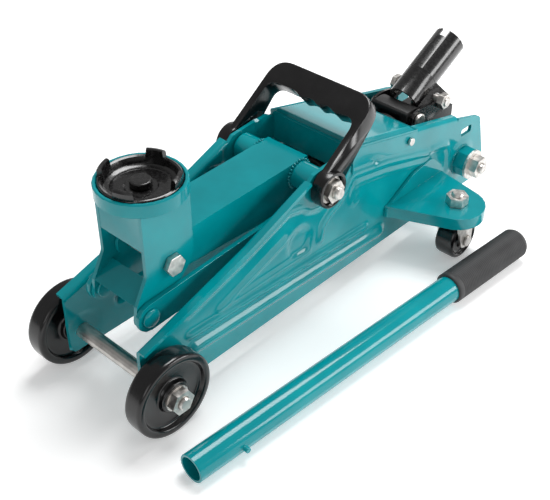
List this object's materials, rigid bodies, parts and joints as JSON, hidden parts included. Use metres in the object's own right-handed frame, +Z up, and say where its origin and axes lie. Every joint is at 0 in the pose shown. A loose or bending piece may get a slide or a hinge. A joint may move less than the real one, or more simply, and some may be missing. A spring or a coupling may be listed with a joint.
{
  "type": "hydraulic trolley jack",
  "caption": "Low hydraulic trolley jack: plate frame, lift arm with level saddle, pump socket, swivel casters, folding carrying handle and a loose handle bar.",
  "frame": {"origin": "middle of the footprint of the jack and its loose bar, on the floor", "axes": "+Y from the front axle to the rear, +X to the side where the bar lies, +Z up. Left is -X and right is +X."},
  "size_m": [0.2422, 0.4294, 0.1727],
  "materials": {
    "teal_enamel": "gloss enamel",
    "black_enamel": "gloss enamel on cast and pressed steel",
    "black_plastic": "satin moulded",
    "grip_rubber": "ribbed matt",
    "zinc_plate": "zinc plated",
    "bright_steel": "turned",
    "cast_iron": "black"
  },
  "bodies": {
    "frame": {"side_plate_left": "teal_enamel", "side_plate_right": "teal_enamel", "caster_ear_left": "teal_enamel", "caster_ear_right": "teal_enamel", "cover_screw_left": "zinc_plate", "cover_screw_right": "zinc_plate", "front_nut_left": "zinc_plate", "front_nut_right": "zinc_plate", "arm_shaft_nut_left": "zinc_plate", "arm_shaft_nut_right": "zinc_plate", "rear_spacer_left": "teal_enamel", "rear_spacer_right": "teal_enamel", "rear_nut_left": "zinc_plate", "rear_nut_right": "zinc_plate", "tie_stud_left": "teal_enamel", "tie_stud_right": "teal_enamel", "return_spring_left": "bright_steel", "return_spring_right": "bright_steel", "top_cover": "teal_enamel", "front_axle": "bright_steel", "arm_shaft": "zinc_plate", "rear_bolt": "zinc_plate", "rear_cross_plate": "teal_enamel", "ram_cylinder": "cast_iron", "pump_block": "cast_iron", "socket_pin": "zinc_plate"},
    "arm": {"lift_arm": "teal_enamel", "lever_pin": "bright_steel", "arm_spacer_left": "teal_enamel", "arm_spacer_right": "teal_enamel"},
    "carrier": {"saddle_carrier": "teal_enamel", "carrier_bolt": "zinc_plate", "carrier_pin_left": "teal_enamel", "carrier_pin_right": "teal_enamel"},
    "saddle": {"saddle": "black_enamel", "saddle_screw": "black_enamel"},
    "tie_rods": {"tie_rod_left": "teal_enamel", "tie_rod_right": "teal_enamel"},
    "ram": {"ram": "bright_steel"},
    "carrying_handle": {"carrying_handle": "black_plastic"},
    "pump_socket": {"pump_socket": "black_enamel", "socket_bolt": "zinc_plate", "socket_roller": "bright_steel"},
    "plunger": {"plunger": "bright_steel"},
    "release_valve": {"release_valve": "zinc_plate"},
    "handle_bar": {"handle_tube": "teal_enamel", "handle_grip": "grip_rubber"},
    "front_wheel_left": {"front_wheel_left": "black_plastic"},
    "caster_left": {"caster_left_fork": "zinc_plate", "caster_left_nut": "zinc_plate", "caster_left_axle": "zinc_plate"},
    "caster_wheel_left": {"caster_wheel_left": "black_plastic"},
    "front_wheel_right": {"front_wheel_right": "black_plastic"},
    "caster_right": {"caster_right_fork": "zinc_plate", "caster_right_nut": "zinc_plate", "caster_right_axle": "zinc_plate"},
    "caster_wheel_right": {"caster_wheel_right": "black_plastic"}
  },
  "joints": [
    {"name": "arm_lift", "type": "hinge", "parent": "frame", "child": "arm", "pos_m": [-0.01464, -0.01265, 0.1145], "axis": [-1, 0, 0], "range_deg": [-16.5, 62]},
    {"name": "carrier_level", "type": "hinge", "parent": "arm", "child": "carrier", "pos_m": [-0.01464, -0.14465, 0.1074], "axis": [-1, 0, 0], "range_deg": [-62.1, 16.6]},
    {"name": "tie_rod_swing", "type": "hinge", "parent": "frame", "child": "tie_rods", "pos_m": [-0.01464, -0.03825, 0.0845], "axis": [-1, 0, 0], "range_deg": [-16.6, 62.1]},
    {"name": "ram_slide", "type": "slide", "parent": "frame", "child": "ram", "axis": [0, -1, 0], "range_m": [-0.01038, 0.03873], "deforming": ["return_spring_left", "return_spring_right"]},
    {"name": "saddle_swivel", "type": "hinge", "parent": "carrier", "child": "saddle", "pos_m": [-0.01464, -0.14565, 0.1552], "axis": [0, 0, 1], "continuous": true},
    {"name": "carrying_handle_swing", "type": "hinge", "parent": "frame", "child": "carrying_handle", "pos_m": [-0.01464, -0.01265, 0.1145], "axis": [-1, 0, 0], "range_deg": [-45, 6]},
    {"name": "pump_socket_tilt", "type": "hinge", "parent": "frame", "child": "pump_socket", "pos_m": [-0.01464, 0.13535, 0.098], "axis": [1, 0, 0], "range_deg": [-12, 33]},
    {"name": "plunger_slide", "type": "slide", "parent": "frame", "child": "plunger", "axis": [0, 0, 1], "range_m": [-0.00584, 0.01588]},
    {"name": "release_valve_turn", "type": "hinge", "parent": "frame", "child": "release_valve", "pos_m": [-0.01464, 0.19335, 0.066], "axis": [0, 1, 0], "range_deg": [0, 180]},
    {"name": "handle_bar_lift", "type": "slide", "parent": "frame", "child": "handle_bar", "axis": [0, 0, 1], "range_m": [0, 0.3]},
    {"name": "front_wheel_left_spin", "type": "hinge", "parent": "frame", "child": "front_wheel_left", "pos_m": [-0.06024, -0.18165, 0.033], "axis": [1, 0, 0], "continuous": true},
    {"name": "caster_left_swivel", "type": "hinge", "parent": "frame", "child": "caster_left", "pos_m": [-0.09734, 0.11315, 0.053], "axis": [0, 0, 1], "continuous": true},
    {"name": "caster_wheel_left_spin", "type": "hinge", "parent": "caster_left", "child": "caster_wheel_left", "pos_m": [-0.09734, 0.11735, 0.018], "axis": [1, 0, 0], "continuous": true},
    {"name": "front_wheel_right_spin", "type": "hinge", "parent": "frame", "child": "front_wheel_right", "pos_m": [0.03096, -0.18165, 0.033], "axis": [1, 0, 0], "continuous": true},
    {"name": "caster_right_swivel", "type": "hinge", "parent": "frame", "child": "caster_right", "pos_m": [0.06806, 0.11315, 0.053], "axis": [0, 0, 1], "continuous": true},
    {"name": "caster_wheel_right_spin", "type": "hinge", "parent": "caster_right", "child": "caster_wheel_right", "pos_m": [0.06806, 0.11735, 0.018], "axis": [1, 0, 0], "continuous": true}
  ],
  "couplings": [
    {"joint": "carrier_level", "follows": "arm_lift", "ratio": -1},
    {"joint": "tie_rod_swing", "follows": "arm_lift", "ratio": 1},
    {"joint": "ram_slide", "follows": "arm_lift", "m_per_rad": 0.0357},
    {"joint": "plunger_slide", "follows": "pump_socket_tilt", "m_per_rad": 0.0274}
  ]
}
